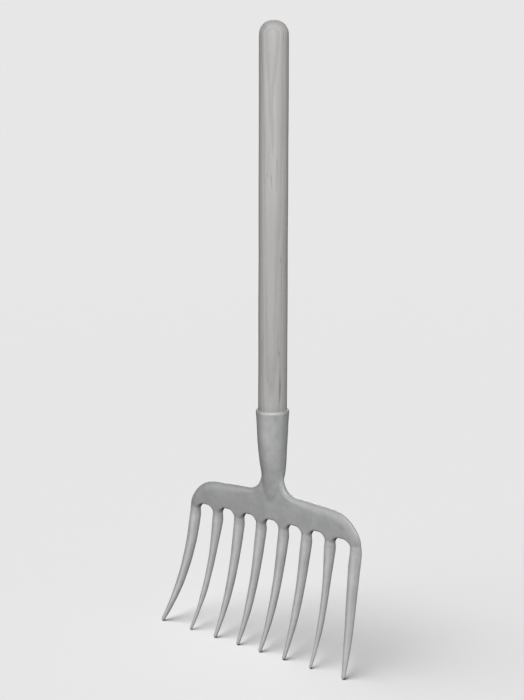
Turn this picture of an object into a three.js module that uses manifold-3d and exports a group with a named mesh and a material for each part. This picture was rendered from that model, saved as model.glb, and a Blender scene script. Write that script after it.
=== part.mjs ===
// Eight-tine hay fork: a straight round ash handle in a forged socket that is drawn down into a
// flat crosshead, with eight separate oval tines let into the crosshead and one nail that keeps
// the handle in the socket.
//
// Millimetres. +Z runs up the handle, +X along the crosshead, and -Y is the front, the side the
// tines curve towards. The origin is the centre of the crosshead's flat rear face.

import * as THREE from 'three';
import { mergeVertices } from 'three/addons/utils/BufferGeometryUtils.js';
import Module from 'manifold-3d';

// ---- shared dimensions --------------------------------------------------------------------

const GAP = 0.3; // clearance left at every joint between two pieces
const AXIS_Y = -6.1; // handle axis, in front of the rear face
const MOUTH_Z = 146; // nominal mouth of the socket; every "height" below is measured from it

// facets round a turned piece
const HANDLE_SEGMENTS = 40;
const SOCKET_SEGMENTS = 48;
const TINE_SEGMENTS = 20;
const NAIL_SEGMENTS = 20;

// ---- finish -------------------------------------------------------------------------------

const ash = new THREE.MeshStandardMaterial({ color: 0xb4b2ae, roughness: 0.62, metalness: 0 });
const forged = new THREE.MeshStandardMaterial({ color: 0x9b9b9c, roughness: 0.48, metalness: 0.75 });
const drawn = new THREE.MeshStandardMaterial({ color: 0xa6a6a7, roughness: 0.42, metalness: 0.8 });
const wire = new THREE.MeshStandardMaterial({ color: 0x8c8c8d, roughness: 0.5, metalness: 0.8 });

// ---- geometry helpers ---------------------------------------------------------------------

const wasm = await Module();
wasm.setup();

function toSolid(geometry) {
  const bare = geometry.clone();
  bare.deleteAttribute('normal');
  bare.deleteAttribute('uv');
  const merged = mergeVertices(bare, 1e-3);
  return new wasm.Manifold(
    new wasm.Mesh({
      numProp: 3,
      vertProperties: new Float32Array(merged.attributes.position.array),
      triVerts: new Uint32Array(merged.index.array),
    }),
  );
}

function toGeometry(solid) {
  const { vertProperties, triVerts } = solid.getMesh();
  const geometry = new THREE.BufferGeometry();
  const positions = new Float32Array(vertProperties);
  geometry.setAttribute('position', new THREE.BufferAttribute(positions, 3));
  geometry.setIndex(new THREE.BufferAttribute(new Uint32Array(triVerts), 1));
  geometry.computeVertexNormals();
  return geometry;
}

// A solid turned about Y, from [y, radius]. Low y comes first, so that the faces point outwards.
function lathe(profile, segments) {
  const points = profile.map(([y, radius]) => new THREE.Vector2(radius, y));
  return new THREE.LatheGeometry(points, segments);
}

// Stands a lathe solid on the handle's axis, its y becoming the height above the mouth.
function standOnAxis(geometry) {
  return geometry.rotateX(Math.PI / 2).translate(0, AXIS_Y, MOUTH_Z);
}

// ---- handle -------------------------------------------------------------------------------

// bore of the socket, as [height, radius]
const BORE = [
  [-76, 13.6],
  [-72, 14.6],
  [-58, 16.6],
  [-40, 18.3],
  [-20, 19.6],
  [0, 20.55],
  [8, 20.55],
];
const BORE_FIT = GAP + 0.02; // how much smaller the handle's radius is than the bore's
const HANDLE_END_LIFT = 1.2; // handle's end above the floor of the bore
const HANDLE_END_INSET = 2; // narrowing at that end, on top of the gap

const HANDLE_RADIUS = 20;
const HANDLE_TOP = 677.9 - MOUTH_Z; // height
const DOME_HEIGHT = HANDLE_RADIUS * 0.97;
const DOME_RUN_IN = 4; // from the last full-width ring to the base of the dome
const DOME_STEPS = 9;
const DOME_FULLNESS = 0.94; // power on the cosine; below 1 is fuller than an ellipse

function makeHandle() {
  const [boreFloor, boreEndRadius] = BORE[0];
  const end = boreFloor + HANDLE_END_LIFT;
  const domeBase = HANDLE_TOP - DOME_HEIGHT;
  const profile = [
    [end, 0],
    [end, boreEndRadius - GAP - HANDLE_END_INSET],
    ...BORE.slice(1, -1).map(([height, radius]) => [height, radius - BORE_FIT]),
    [domeBase - DOME_RUN_IN, HANDLE_RADIUS],
  ];
  for (let i = 1; i < DOME_STEPS; i++) {
    const angle = (i / DOME_STEPS) * (Math.PI / 2);
    const radius = HANDLE_RADIUS * Math.pow(Math.cos(angle), DOME_FULLNESS);
    profile.push([domeBase + DOME_HEIGHT * Math.sin(angle), radius]);
  }
  profile.push([HANDLE_TOP, 0]);
  return standOnAxis(lathe(profile, HANDLE_SEGMENTS));
}

// ---- socket -------------------------------------------------------------------------------

// outside of the socket, foot to mouth, as
// [height, half-width in X, half-depth in Y, rearward drift of its centre]
const SOCKET = [
  [-131, 9.6, 4.6, 0.6],
  [-124, 12, 7.2, 0.6],
  [-116, 13.9, 9.6, 1],
  [-108, 15.3, 12.1, 1.6],
  [-100, 16.5, 14.5, 2.1],
  [-91.6, 17.6, 16.5, 2.4],
  [-79.8, 18.8, 18.2, 1.8],
  [-68.1, 19.75, 19.4, 1.1],
  [-56.3, 20.5, 20.3, 0.5],
  [-44.7, 21.25, 21.25, 0.1],
  [-33, 21.8, 21.8, 0],
  [-21.4, 22.3, 22.3, 0],
  [-9.8, 22.9, 22.9, 0],
  [-5, 23.25, 23.25, 0],
  [-2.8, 23.5, 23.5, 0],
  [-0.9, 23.25, 23.25, 0],
  [0.6, 22.55, 22.55, 0],
  [1.5, 21.6, 21.6, 0],
  [1.8, 20.9, 20.9, 0],
];

// A solid turned from a [height, radius] profile, with a flat cap at each end.
function capped(profile, segments) {
  const bottom = profile[0][0];
  const top = profile[profile.length - 1][0];
  return lathe([[bottom, 0], ...profile, [top, 0]], segments);
}

function makeSocketBody() {
  const geometry = capped(SOCKET, SOCKET_SEGMENTS);
  // the section goes from round at the mouth to a flattened oval at the foot, set back to the
  // plate; the lathe's z points forward until it is stood up
  const rings = [SOCKET[0], ...SOCKET, SOCKET[SOCKET.length - 1]];
  const position = geometry.attributes.position;
  for (let i = 0; i < position.count; i++) {
    const [, halfWidth, halfDepth, drift] = rings[i % rings.length];
    position.setZ(i, (position.getZ(i) * halfDepth) / halfWidth - drift);
  }
  return standOnAxis(geometry);
}

function makeBore() {
  return standOnAxis(capped(BORE, HANDLE_SEGMENTS));
}

// ---- tine pairs ---------------------------------------------------------------------------

// "along" is the share of a tine's drop: 0 at the root, 1 at the tip, negative above the root.

// oval sections, as [along, half-width, half-depth]
const INNER_SECTION = [
  [-0.03, 8.7, 6.2],
  [0.0, 8.88, 5.95], [0.08, 8.79, 5.32], [0.16, 8.36, 5.04], [0.25, 7.85, 4.71], [0.34, 7.34, 4.46],
  [0.42, 6.96, 4.27], [0.5, 6.64, 4.12], [0.58, 6.18, 3.98], [0.66, 5.66, 3.78], [0.74, 4.93, 3.46],
  [0.82, 4.04, 3.01], [0.9, 3.33, 2.64], [0.96, 2.84, 2.37], [0.985, 2.62, 2.23],
];
const THIRD_SECTION = [
  [-0.03, 8.75, 6.2],
  [0.0, 8.93, 5.95], [0.08, 8.34, 5.04], [0.16, 7.46, 4.5], [0.25, 6.62, 3.97], [0.34, 5.92, 3.59],
  [0.42, 5.5, 3.37], [0.5, 5.13, 3.18], [0.58, 4.85, 3.13], [0.66, 4.56, 3.05], [0.74, 3.97, 2.78],
  [0.82, 3.07, 2.29], [0.9, 2.59, 2.05], [0.96, 2.31, 1.93], [0.985, 2.15, 1.82],
];
const OUTER_SECTION = [
  [-0.03, 8.9, 6.3],
  [0.0, 9.21, 6.1], [0.08, 9.35, 5.66], [0.16, 9.01, 5.43], [0.25, 8.67, 5.2], [0.34, 8.2, 4.98],
  [0.42, 7.8, 4.79], [0.5, 7.37, 4.57], [0.58, 6.87, 4.43], [0.66, 6.38, 4.26], [0.74, 5.56, 3.9],
  [0.82, 4.72, 3.51], [0.9, 3.85, 3.05], [0.96, 3.1, 2.58], [0.985, 2.72, 2.31],
];

const FINGER = 7.95; // half-width of the crosshead's finger above a tine
const ARCH_TOP = -161.4; // height of the crown of an arch between two fingers
const ARCH_CORNER = 9.2; // corner radius of an arch

// The four pairs from the middle outwards.
//   x: distance of the root from the middle
//   finger: half-width of its finger
//   archTop, archCorner: crown of the arch on its inner side, and that arch's corner beside it
//   splay: outward reach [a, b], as a along + b along^2
//   bow: extra forward reach where it is greatest, two thirds of the way down
const PAIRS = [
  { x: 20.08, splay: [0, 0], bow: 0, section: INNER_SECTION },
  { x: 60.23, splay: [-0.5, 2.1], bow: 0, section: INNER_SECTION },
  { x: 100.39, splay: [4.4, 2.9], bow: -1, section: THIRD_SECTION },
  {
    x: 143.29, splay: [1.4, 18.1], bow: 0, section: OUTER_SECTION,
    finger: 8.2, archTop: -163, archCorner: 11,
  },
].map((pair) => ({ finger: FINGER, archTop: ARCH_TOP, archCorner: ARCH_CORNER, ...pair }));

// ---- crosshead plate ----------------------------------------------------------------------

const PLATE_THICKNESS = 11;
const PLATE_ROUND = 3.4; // edge rounding
const PLATE_ROUND_STEPS = 3;
const FINGER_END = -182; // height of the fingers' ends before the tines' seats are cut
const OUTER_EDGE_EXTRA = 0.05; // added to the outermost finger on its outer side
const SHOULDER_STEPS = 44;
const CORNER_STEPS = 6;

// upper outline of the plate as [x, height], from inside the socket's foot, through the fillet
// beside it and along the shoulder to the outer end
const SHOULDER = [
  [16.6, -88], [17.8, -96], [19.5, -103], [21.9, -108.9], [24.9, -113.6],
  [29, -117.2], [34, -119.5], [39.2, -120.8], [50, -121.4], [60, -122.1],
  [72, -122.9], [83.5, -123.7], [95, -124.3], [106, -125.4], [112, -126.6],
  [117, -127.9], [122.5, -130.1], [128, -133.3], [133.8, -137.5], [139, -142.5],
  [143.8, -148.6], [147.7, -155.1], [150.1, -161.5], [151.3, -168], [151.5, -174],
];

// A quarter circle about [x, z], anticlockwise from the given angle in degrees.
function archCorner(x, z, radius, startAngle) {
  const points = [];
  for (let i = 0; i <= CORNER_STEPS; i++) {
    const angle = ((startAngle + (90 * i) / CORNER_STEPS) * Math.PI) / 180;
    points.push([x + radius * Math.cos(angle), z + radius * Math.sin(angle)]);
  }
  return points;
}

// Right half of the plate's outline, clockwise from the top of the centre line.
function halfOutline() {
  const spline = new THREE.CatmullRomCurve3(
    SHOULDER.map(([x, height]) => new THREE.Vector3(x, height, 0)),
    false,
    'centripetal',
  );
  const half = [[0, SHOULDER[0][1]]];
  for (const point of spline.getSpacedPoints(SHOULDER_STEPS)) half.push([point.x, point.y]);

  // each finger's end, then the arch on its inner side; the middle arch is only half drawn
  for (let i = PAIRS.length - 1; i >= 0; i--) {
    const { x, finger, archTop: top, archCorner: radius } = PAIRS[i];
    const extra = i === PAIRS.length - 1 ? OUTER_EDGE_EXTRA : 0;
    const right = x - finger;
    half.push([x + finger + extra, FINGER_END], [right, FINGER_END]);
    half.push(...archCorner(right - radius, top - radius, radius, 0));
    if (i > 0) {
      const left = PAIRS[i - 1].x + PAIRS[i - 1].finger;
      half.push(...archCorner(left + ARCH_CORNER, top - ARCH_CORNER, ARCH_CORNER, 90));
    }
  }
  return half;
}

function makePlate() {
  const rightHalf = halfOutline();
  const leftHalf = rightHalf.slice(1).reverse().map(([x, z]) => [-x, z]);
  const outline = [...rightHalf, ...leftHalf].map(([x, z]) => new THREE.Vector2(x, z));
  const geometry = new THREE.ExtrudeGeometry(new THREE.Shape(outline), {
    depth: PLATE_THICKNESS - 2 * PLATE_ROUND,
    bevelEnabled: true,
    bevelSize: PLATE_ROUND,
    bevelThickness: PLATE_ROUND,
    bevelOffset: -PLATE_ROUND,
    bevelSegments: PLATE_ROUND_STEPS,
    curveSegments: 1,
    steps: 1,
  });
  // drawn in X and Y, thick in Z: stand it up so that it is thick in Y, its back at Y = 0
  return geometry.rotateX(Math.PI / 2).translate(0, -PLATE_ROUND, MOUTH_Z);
}

// ---- tines --------------------------------------------------------------------------------

const ROOT = -183.4; // height of the root
const TINE_DROP = 155.4; // root to tip, measured down
const TINE_FORWARD = [29.5, 5, 20.5]; // forward reach: a along + b along^2 + c along^3
const TINE_EASE = 300; // above the root: a along + TINE_EASE along^2, back towards upright
const BOW_SCALE = 27 / 4; // makes along^2 (1 - along) peak at 1
const TANGENT_STEP = 1e-3;
const NORMAL_LENGTH = 100; // length of the lathe blank, whose slope sets the tine's normals

const TINE_SHOULDER = -0.048; // along, where the tine meets the finger's end
const TENON_RADIUS = 3.8;
const TENON_TOP = TINE_SHOULDER - 14 / TINE_DROP; // along; the tenon is 14 long
const TENON_CHAMFER = { inset: 0.8, length: 1 };
// narrowing of the first section towards the shoulder, as distances below it and insets
const SHOULDER_EDGE = { below: 0, width: 1.3, depth: 0.9 };
const SHOULDER_ROUND = { below: 1.2, width: 0.5, depth: 0.25 };
// rounded tip, as [along, scale of the last section]
const TIP = [[0.9935, 0.93], [0.9985, 0.66], [1, 0.3], [1, 0]];

const SEAT_RADIUS = 13; // clears the finger's end right across
const SEAT_BOTTOM = TINE_SHOULDER + 0.09; // along, below the finger's uncut end

function tineCentre({ x, splay, bow }, side, along) {
  const [forward1, forward2, forward3] = TINE_FORWARD;
  let outward = 0;
  let forward = forward1 * along;
  if (along >= 0) {
    outward = splay[0] * along + splay[1] * along ** 2;
    forward += forward2 * along ** 2 + forward3 * along ** 3;
    forward += BOW_SCALE * bow * along ** 2 * (1 - along);
  } else {
    forward += TINE_EASE * along ** 2;
  }
  return new THREE.Vector3(
    side * (x + outward),
    AXIS_Y - forward,
    MOUTH_Z + ROOT - TINE_DROP * along,
  );
}

// Centre and two cross directions of the tine. Above the shoulder it runs straight on.
function tineFrame(pair, side, along) {
  const onCurve = Math.max(along, TINE_SHOULDER);
  const centre = tineCentre(pair, side, onCurve);
  const tangent = tineCentre(pair, side, onCurve + TANGENT_STEP).sub(centre).normalize();
  centre.addScaledVector(tangent, (along - onCurve) * TINE_DROP);
  const across = new THREE.Vector3(1, 0, 0);
  across.addScaledVector(tangent, -across.dot(tangent)).normalize();
  const rearward = new THREE.Vector3().crossVectors(across, tangent);
  return { centre, across, rearward };
}

// Oval rings of [along, half-width, half-depth], low first, set along the tine's centre line.
function alongTine(pair, side, rings) {
  const blank = rings.map(([along, width]) => [along * NORMAL_LENGTH, width]);
  const geometry = lathe(blank, TINE_SEGMENTS);
  const position = geometry.attributes.position;
  for (let i = 0; i < position.count; i++) {
    const [along, width, depth] = rings[i % rings.length];
    const { centre, across, rearward } = tineFrame(pair, side, along);
    const squash = width > 0 ? depth / width : 0;
    centre.addScaledVector(across, position.getX(i));
    centre.addScaledVector(rearward, position.getZ(i) * squash);
    position.setXYZ(i, centre.x, centre.y, centre.z);
  }
  return geometry;
}

const roundRing = (along, radius) => [along, radius, radius];

function makeTine(pair, side) {
  const { section } = pair;
  const [, rootWidth, rootDepth] = section[0];
  const [, tipWidth, tipDepth] = section[section.length - 1];
  const shoulderRings = [SHOULDER_EDGE, SHOULDER_ROUND].map(({ below, width, depth }) => [
    TINE_SHOULDER + below / TINE_DROP,
    rootWidth - width,
    rootDepth - depth,
  ]);
  return alongTine(pair, side, [
    roundRing(TENON_TOP, 0),
    roundRing(TENON_TOP, TENON_RADIUS - TENON_CHAMFER.inset),
    roundRing(TENON_TOP + TENON_CHAMFER.length / TINE_DROP, TENON_RADIUS),
    roundRing(TINE_SHOULDER, TENON_RADIUS),
    ...shoulderRings,
    ...section,
    ...TIP.map(([along, scale]) => [along, tipWidth * scale, tipDepth * scale]),
  ]);
}

// Cutter for a tine's seat: the tenon's hole and the trimmed end of the finger, with clearance.
function tineSeat(pair, side) {
  const gap = GAP / TINE_DROP;
  const holeTop = TENON_TOP - 2 * gap;
  return alongTine(pair, side, [
    roundRing(holeTop, 0),
    roundRing(holeTop, TENON_RADIUS + GAP),
    roundRing(TINE_SHOULDER - gap, TENON_RADIUS + GAP),
    roundRing(TINE_SHOULDER - gap, SEAT_RADIUS),
    roundRing(SEAT_BOTTOM, SEAT_RADIUS),
    roundRing(SEAT_BOTTOM, 0),
  ]);
}

// ---- nail ---------------------------------------------------------------------------------

const NAIL_HEIGHT = -30;
const NAIL_RADIUS = 2.4;
const NAIL_LENGTH = 30;
const NAIL_POINT = 5; // length of the tapered point
const NAIL_HEAD_RADIUS = 4.6;
const NAIL_HEAD_DEPTH = 0.9; // straight rim of the head, below the wall's surface
const NAIL_NECK_DEPTH = 3.2; // where the taper under the head meets the shank
const NAIL_PROUD = 0.15; // head above the wall's surface
const NAIL_HOLE_PROUD = 3; // the cutter runs well clear of the wall

// Half-depth of the socket at a height between two of its stations.
function socketHalfDepth(height) {
  const i = SOCKET.findIndex(([station]) => station >= height);
  const [lower, , lowerDepth] = SOCKET[i - 1];
  const [upper, , upperDepth] = SOCKET[i];
  return THREE.MathUtils.mapLinear(height, lower, upper, lowerDepth, upperDepth);
}

// The head lies in the rear wall of the socket, and the shank runs forward into the handle.
function nailShape(clearance, proud) {
  const profile = [
    [-NAIL_LENGTH - clearance, 0],
    [-NAIL_LENGTH + NAIL_POINT, NAIL_RADIUS + clearance],
    [-NAIL_NECK_DEPTH, NAIL_RADIUS + clearance],
    [-NAIL_HEAD_DEPTH, NAIL_HEAD_RADIUS + clearance],
    [proud, NAIL_HEAD_RADIUS + clearance],
    [proud, 0],
  ];
  const rearWallY = AXIS_Y + socketHalfDepth(NAIL_HEIGHT);
  return lathe(profile, NAIL_SEGMENTS).translate(0, rearWallY, MOUTH_Z + NAIL_HEIGHT);
}

// ---- assembly -----------------------------------------------------------------------------

const group = new THREE.Group();
group.name = 'hay_fork';

function addPiece(name, geometry, material) {
  const mesh = new THREE.Mesh(geometry, material);
  mesh.name = name;
  group.add(mesh);
}

const nailHole = toSolid(nailShape(GAP, NAIL_HOLE_PROUD));
addPiece('handle', toGeometry(toSolid(makeHandle()).subtract(nailHole)), ash);

let head = toSolid(makeSocketBody()).add(toSolid(makePlate()));
head = head.subtract(toSolid(makeBore())).subtract(nailHole);
for (const side of [-1, 1]) {
  for (const pair of PAIRS) head = head.subtract(toSolid(tineSeat(pair, side)));
}
addPiece('socket_crosshead', toGeometry(head), forged);

// tine_1 is the outermost at -X, tine_8 the outermost at +X
for (let i = 0; i < 8; i++) {
  const side = i < 4 ? -1 : 1;
  const pair = PAIRS[i < 4 ? 3 - i : i - 4];
  addPiece(`tine_${i + 1}`, makeTine(pair, side), drawn);
}

addPiece('socket_nail', nailShape(0, NAIL_PROUD), wire);

export default group;
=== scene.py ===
import math
from contextlib import contextmanager

import bmesh
import bpy
import numpy as np
from mathutils import Matrix, Vector


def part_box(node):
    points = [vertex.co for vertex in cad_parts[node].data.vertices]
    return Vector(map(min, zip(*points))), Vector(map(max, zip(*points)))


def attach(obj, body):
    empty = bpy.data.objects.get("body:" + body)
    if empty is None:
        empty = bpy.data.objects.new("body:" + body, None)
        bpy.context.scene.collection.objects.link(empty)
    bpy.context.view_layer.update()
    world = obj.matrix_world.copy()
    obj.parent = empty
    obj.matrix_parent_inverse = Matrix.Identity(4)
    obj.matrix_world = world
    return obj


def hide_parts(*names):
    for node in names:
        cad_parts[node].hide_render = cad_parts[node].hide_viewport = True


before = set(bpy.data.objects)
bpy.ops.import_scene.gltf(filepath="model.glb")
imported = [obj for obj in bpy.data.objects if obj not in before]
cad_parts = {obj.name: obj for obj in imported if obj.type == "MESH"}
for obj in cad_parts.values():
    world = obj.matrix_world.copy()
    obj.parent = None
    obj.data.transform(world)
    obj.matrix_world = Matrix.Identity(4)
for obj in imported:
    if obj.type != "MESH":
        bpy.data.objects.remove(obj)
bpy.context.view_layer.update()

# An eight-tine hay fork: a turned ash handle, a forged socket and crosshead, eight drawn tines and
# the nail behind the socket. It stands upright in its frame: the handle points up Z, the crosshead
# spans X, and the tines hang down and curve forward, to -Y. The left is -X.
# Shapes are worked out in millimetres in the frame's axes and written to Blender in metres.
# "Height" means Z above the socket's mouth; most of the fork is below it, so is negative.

MM = 0.001


def box_mm(node):
    lo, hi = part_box(node)
    return np.array(lo) / MM, np.array(hi) / MM


# ---- places, from the frame ---------------------------------------------------------------

handle_lo, handle_hi = box_mm("handle")
LIP_RISE = 1.8  # the rounded lip stands this far above the mouth
AXIS_Y = float(handle_lo[1] + handle_hi[1]) / 2
HANDLE_TOP = float(handle_hi[2])
LIP_TOP = float(box_mm("socket_crosshead")[1][2])
MOUTH = LIP_TOP - LIP_RISE
FLOOR_Z = float(min(box_mm(f"tine_{i}")[0][2] for i in range(1, 9)))

# ---- sizes --------------------------------------------------------------------------------

HANDLE_R_TOP, HANDLE_R_COLLAR = 20.0, 20.23

# height, half-width in X, half-depth in Y, rearward drift of the centre
SOCKET = np.array([
    [6.0, 23.62, 23.62, 0.0], [-2.8, 23.5, 23.5, 0.0], [-5.0, 23.28, 23.28, 0.0],
    [-9.8, 22.92, 22.92, 0.0], [-21.4, 22.3, 22.3, 0.0], [-33.0, 21.8, 21.8, 0.0],
    [-44.7, 21.25, 21.25, 0.1], [-56.3, 20.5, 20.3, 0.5], [-68.1, 19.75, 19.4, 1.1],
    [-79.8, 18.8, 18.2, 1.8], [-91.6, 17.4, 16.4, 2.4], [-100.0, 16.1, 14.3, 2.1],
    [-108.0, 14.6, 11.8, 1.6], [-116.0, 12.8, 9.2, 1.0], [-124.0, 10.4, 6.8, 0.6],
    [-131.0, 7.6, 4.2, 0.6], [-138.0, 4.5, 1.6, 0.6], [-150.0, 3.0, 0.8, 0.6]])
SOCKET_FOOT = -138.0
LIP_DROP, LIP_WALL = 2.8, 2.7  # the lip's rounding starts this far down, and takes this much wall
# height, radius
BORE = [(8.0, 20.55), (0.0, 20.55), (-20.0, 19.6), (-40.0, 18.3), (-58.0, 16.6), (-72.0, 14.6),
        (-76.0, 13.6)]
BORE_END, BORE_END_R = BORE[-1]

WEB_T = 11.0  # the crosshead plate's thickness; its rear face is at y = 0
WEB_Y = -WEB_T / 2
FINGER_END = -196.0
# the crosshead's top outline on the +X side: x, height
SHOULDER = [
    (16.6, -88.0), (17.8, -96.0), (19.5, -103.0), (21.9, -108.9), (24.9, -113.6), (29.0, -117.2),
    (34.0, -119.5), (39.2, -120.8), (50.0, -121.4), (60.0, -122.1), (72.0, -122.9),
    (83.5, -123.7), (95.0, -124.3), (106.0, -125.4), (112.0, -126.6), (117.0, -127.9),
    (122.5, -130.1), (128.0, -133.3), (133.8, -137.5), (139.0, -142.5), (143.8, -148.6),
    (147.7, -155.1), (150.1, -161.5), (151.3, -168.0), (151.6, -174.0), (151.7, -182.0),
    (151.7, FINGER_END)]
PLATE_TOP = SHOULDER[0][1]
FINGER_R, FINGER_R_OUTER = 8.0, 8.35  # half-widths of the fingers that the tines grow from
# tops of the arches between fingers, and their corner radii
ARCH_TOP, ARCH_TOP_OUTER, ARCH_R, ARCH_R_END = -161.4, -163.0, 9.2, 11.0

# rounding of the plate's edges
TOP_EDGE_R, TOP_EDGE_GAIN = 6.5, 7.0  # beside the socket, and what is added over the ends
TOP_EDGE_SPAN = (18.0, 85.0)          # |x| over which it is added
R_ARCH, R_FINGER = 3.0, 7.4           # round the arches, and down at the tines
FINGER_TURN = (162.5, 173.5)          # depth below the mouth over which one becomes the other
PLATE_OVERRUN = 3.5                   # the plate runs this far past the seam with the tines
SOCKET_BLEND, TINE_BLEND = 3.6, 1.0   # softness where the socket and tines run into the plate

# Tines come in left and right pairs, 0 at the middle to 3 at the ends. A station u along a tine
# is 0 at its root and 1 at its tip.
TINE_X = [20.08, 60.23, 100.39, 143.29]
ROOT, DROP = -183.4, 155.4  # height of station 0, and the drop from there to the tip
SHOULDER_U = -0.048         # station of the shoulder, where the tine meets the crosshead
FORWARD = (29.5, 5.0, 20.5)  # forward reach: factors of u, u^2 and u^3
EASE = 300.0                 # factor of u^2 that turns the tine plumb above its root
SPLAY = [(0, 0), (-0.5, 2.1), (4.4, 2.9), (1.4, 18.1)]  # outward drift: factors of u and u^2
SAG = [0.0, 0.0, -1.0, 0.0]  # largest extra forward bow
# station, half-width, half-depth
INNER = [
    (-0.03, 8.7, 6.2), (0.0, 8.88, 5.95), (0.08, 8.79, 5.32), (0.16, 8.36, 5.04),
    (0.25, 7.85, 4.71), (0.34, 7.34, 4.46), (0.42, 6.96, 4.27), (0.5, 6.64, 4.12),
    (0.58, 6.18, 3.98), (0.66, 5.66, 3.78), (0.74, 4.93, 3.46), (0.82, 4.04, 3.01),
    (0.9, 3.33, 2.64), (0.96, 2.84, 2.37), (0.985, 2.62, 2.23)]
SECOND = [  # second from the end
    (-0.03, 8.75, 6.2), (0.0, 8.93, 5.95), (0.08, 8.34, 5.04), (0.16, 7.46, 4.5),
    (0.25, 6.62, 3.97), (0.34, 5.92, 3.59), (0.42, 5.5, 3.37), (0.5, 5.13, 3.18),
    (0.58, 4.85, 3.13), (0.66, 4.56, 3.05), (0.74, 3.97, 2.78), (0.82, 3.07, 2.29),
    (0.9, 2.59, 2.05), (0.96, 2.31, 1.93), (0.985, 2.15, 1.82)]
OUTER = [
    (-0.03, 8.9, 6.3), (0.0, 9.21, 6.1), (0.08, 9.35, 5.66), (0.16, 9.01, 5.43),
    (0.25, 8.67, 5.2), (0.34, 8.2, 4.98), (0.42, 7.8, 4.79), (0.5, 7.37, 4.57),
    (0.58, 6.87, 4.43), (0.66, 6.38, 4.26), (0.74, 5.56, 3.9), (0.82, 4.72, 3.51),
    (0.9, 3.85, 3.05), (0.96, 3.1, 2.58), (0.985, 2.72, 2.31)]
TINE_SECTION = [np.array(table) for table in (INNER, INNER, SECOND, OUTER)]
TENON_R, TENON_L = 3.8, 14.0
SEAM = 0.04  # hairline left where a tine meets the crosshead

NAIL_Z, NAIL_R, NAIL_HEAD_R, NAIL_L = -30.0, 2.4, 4.6, 30.0  # NAIL_Z is a height


# ---- curves and noise ---------------------------------------------------------------------

def smooth_table(table, x):
    """Monotone cubic through (x, value) rows, without overshoot; x is held to the table's ends."""
    rows = np.array(table, float)
    rows = rows[np.argsort(rows[:, 0])]
    tx, ty = rows[:, 0], rows[:, 1]
    d = np.diff(ty) / np.diff(tx)
    slope = np.zeros(len(tx))
    slope[1:-1] = np.where(d[:-1] * d[1:] > 0, 2 * d[:-1] * d[1:] / (d[:-1] + d[1:] + 1e-30), 0)
    slope[0], slope[-1] = d[0], d[-1]
    x = np.clip(x, tx[0], tx[-1])
    i = np.clip(np.searchsorted(tx, x, side="right") - 1, 0, len(tx) - 2)
    h = tx[i + 1] - tx[i]
    s = (x - tx[i]) / h
    return (ty[i] * (1 + 2 * s) * (1 - s) ** 2 + h * slope[i] * s * (1 - s) ** 2
            + ty[i + 1] * s * s * (3 - 2 * s) + h * slope[i + 1] * s * s * (s - 1))


def ease_in(value, start, end):
    t = np.clip((value - start) / (end - start), 0, 1)
    return t * t * (3 - 2 * t)


def smooth_min(a, b, width):
    h = np.maximum(width - np.abs(a - b), 0) / width
    return np.minimum(a, b) - h * h * width * 0.25


def ripple(x, y, z, seed, wave):
    """Smooth, seeded unevenness of about unit size: a sum of waves near one length."""
    rng = np.random.default_rng(seed)
    count = 9
    total = 0.0
    for _ in range(count):
        d = rng.normal(size=3)
        d /= np.linalg.norm(d)
        k = 2 * math.pi / (wave * rng.uniform(0.75, 1.5))
        phase = rng.uniform(0, 2 * math.pi)
        total = total + np.sin(k * (d[0] * x + d[1] * y + d[2] * z) + phase)
    return total * math.sqrt(2.0 / count) * 0.5


def hammered(x, y, z):
    """Unevenness of the forging, too slight to change a size."""
    return 0.10 * ripple(x, y, z, seed=11, wave=26.0) + 0.05 * ripple(x, y, z, seed=12, wave=11.0)


def circle_angles(count):
    return np.linspace(0, 2 * math.pi, count, endpoint=False)


def catmull(points):
    """Centripetal Catmull-Rom curve through points."""
    def between(a, b, ta, tb, t):
        return (tb - t) / (tb - ta) * a + (t - ta) / (tb - ta) * b

    p = np.array(points, float)
    p = np.vstack([2 * p[0] - p[1], p, 2 * p[-1] - p[-2]])
    out = []
    for i in range(1, len(p) - 2):
        p0, p1, p2, p3 = p[i - 1:i + 3]
        t0 = 0.0
        t1 = t0 + np.linalg.norm(p1 - p0) ** 0.5
        t2 = t1 + np.linalg.norm(p2 - p1) ** 0.5
        t3 = t2 + np.linalg.norm(p3 - p2) ** 0.5
        for t in np.linspace(t1, t2, 14, endpoint=False):
            a1 = between(p0, p1, t0, t1, t)
            a2 = between(p1, p2, t1, t2, t)
            a3 = between(p2, p3, t2, t3, t)
            b1 = between(a1, a2, t0, t2, t)
            b2 = between(a2, a3, t1, t3, t)
            out.append(between(b1, b2, t1, t2, t))
    out.append(p[-2])
    return np.array(out)


# ---- mesh tools ---------------------------------------------------------------------------

def new_object(name, verts_mm, faces):
    mesh = bpy.data.meshes.new(name)
    verts = (np.asarray(verts_mm, float) * MM).tolist()
    mesh.from_pydata(verts, [], [tuple(map(int, f)) for f in faces])
    mesh.update()
    ob = bpy.data.objects.new(name, mesh)
    bpy.context.scene.collection.objects.link(ob)
    return ob


@contextmanager
def editing(mesh):
    bm = bmesh.new()
    bm.from_mesh(mesh)
    yield bm
    bm.to_mesh(mesh)
    bm.free()


def finish_mesh(ob, sharp_deg):
    """Merges, faces outward, smooth shading with edges over sharp_deg kept sharp."""
    limit = math.radians(sharp_deg)
    with editing(ob.data) as bm:
        bmesh.ops.remove_doubles(bm, verts=bm.verts, dist=2e-6)
        bmesh.ops.dissolve_degenerate(bm, dist=1e-7, edges=bm.edges)
        bmesh.ops.recalc_face_normals(bm, faces=bm.faces)
        for f in bm.faces:
            f.smooth = True
        for e in bm.edges:
            if len(e.link_faces) == 2:
                e.smooth = e.calc_face_angle(0.0) < limit
    ob.data.update()


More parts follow.
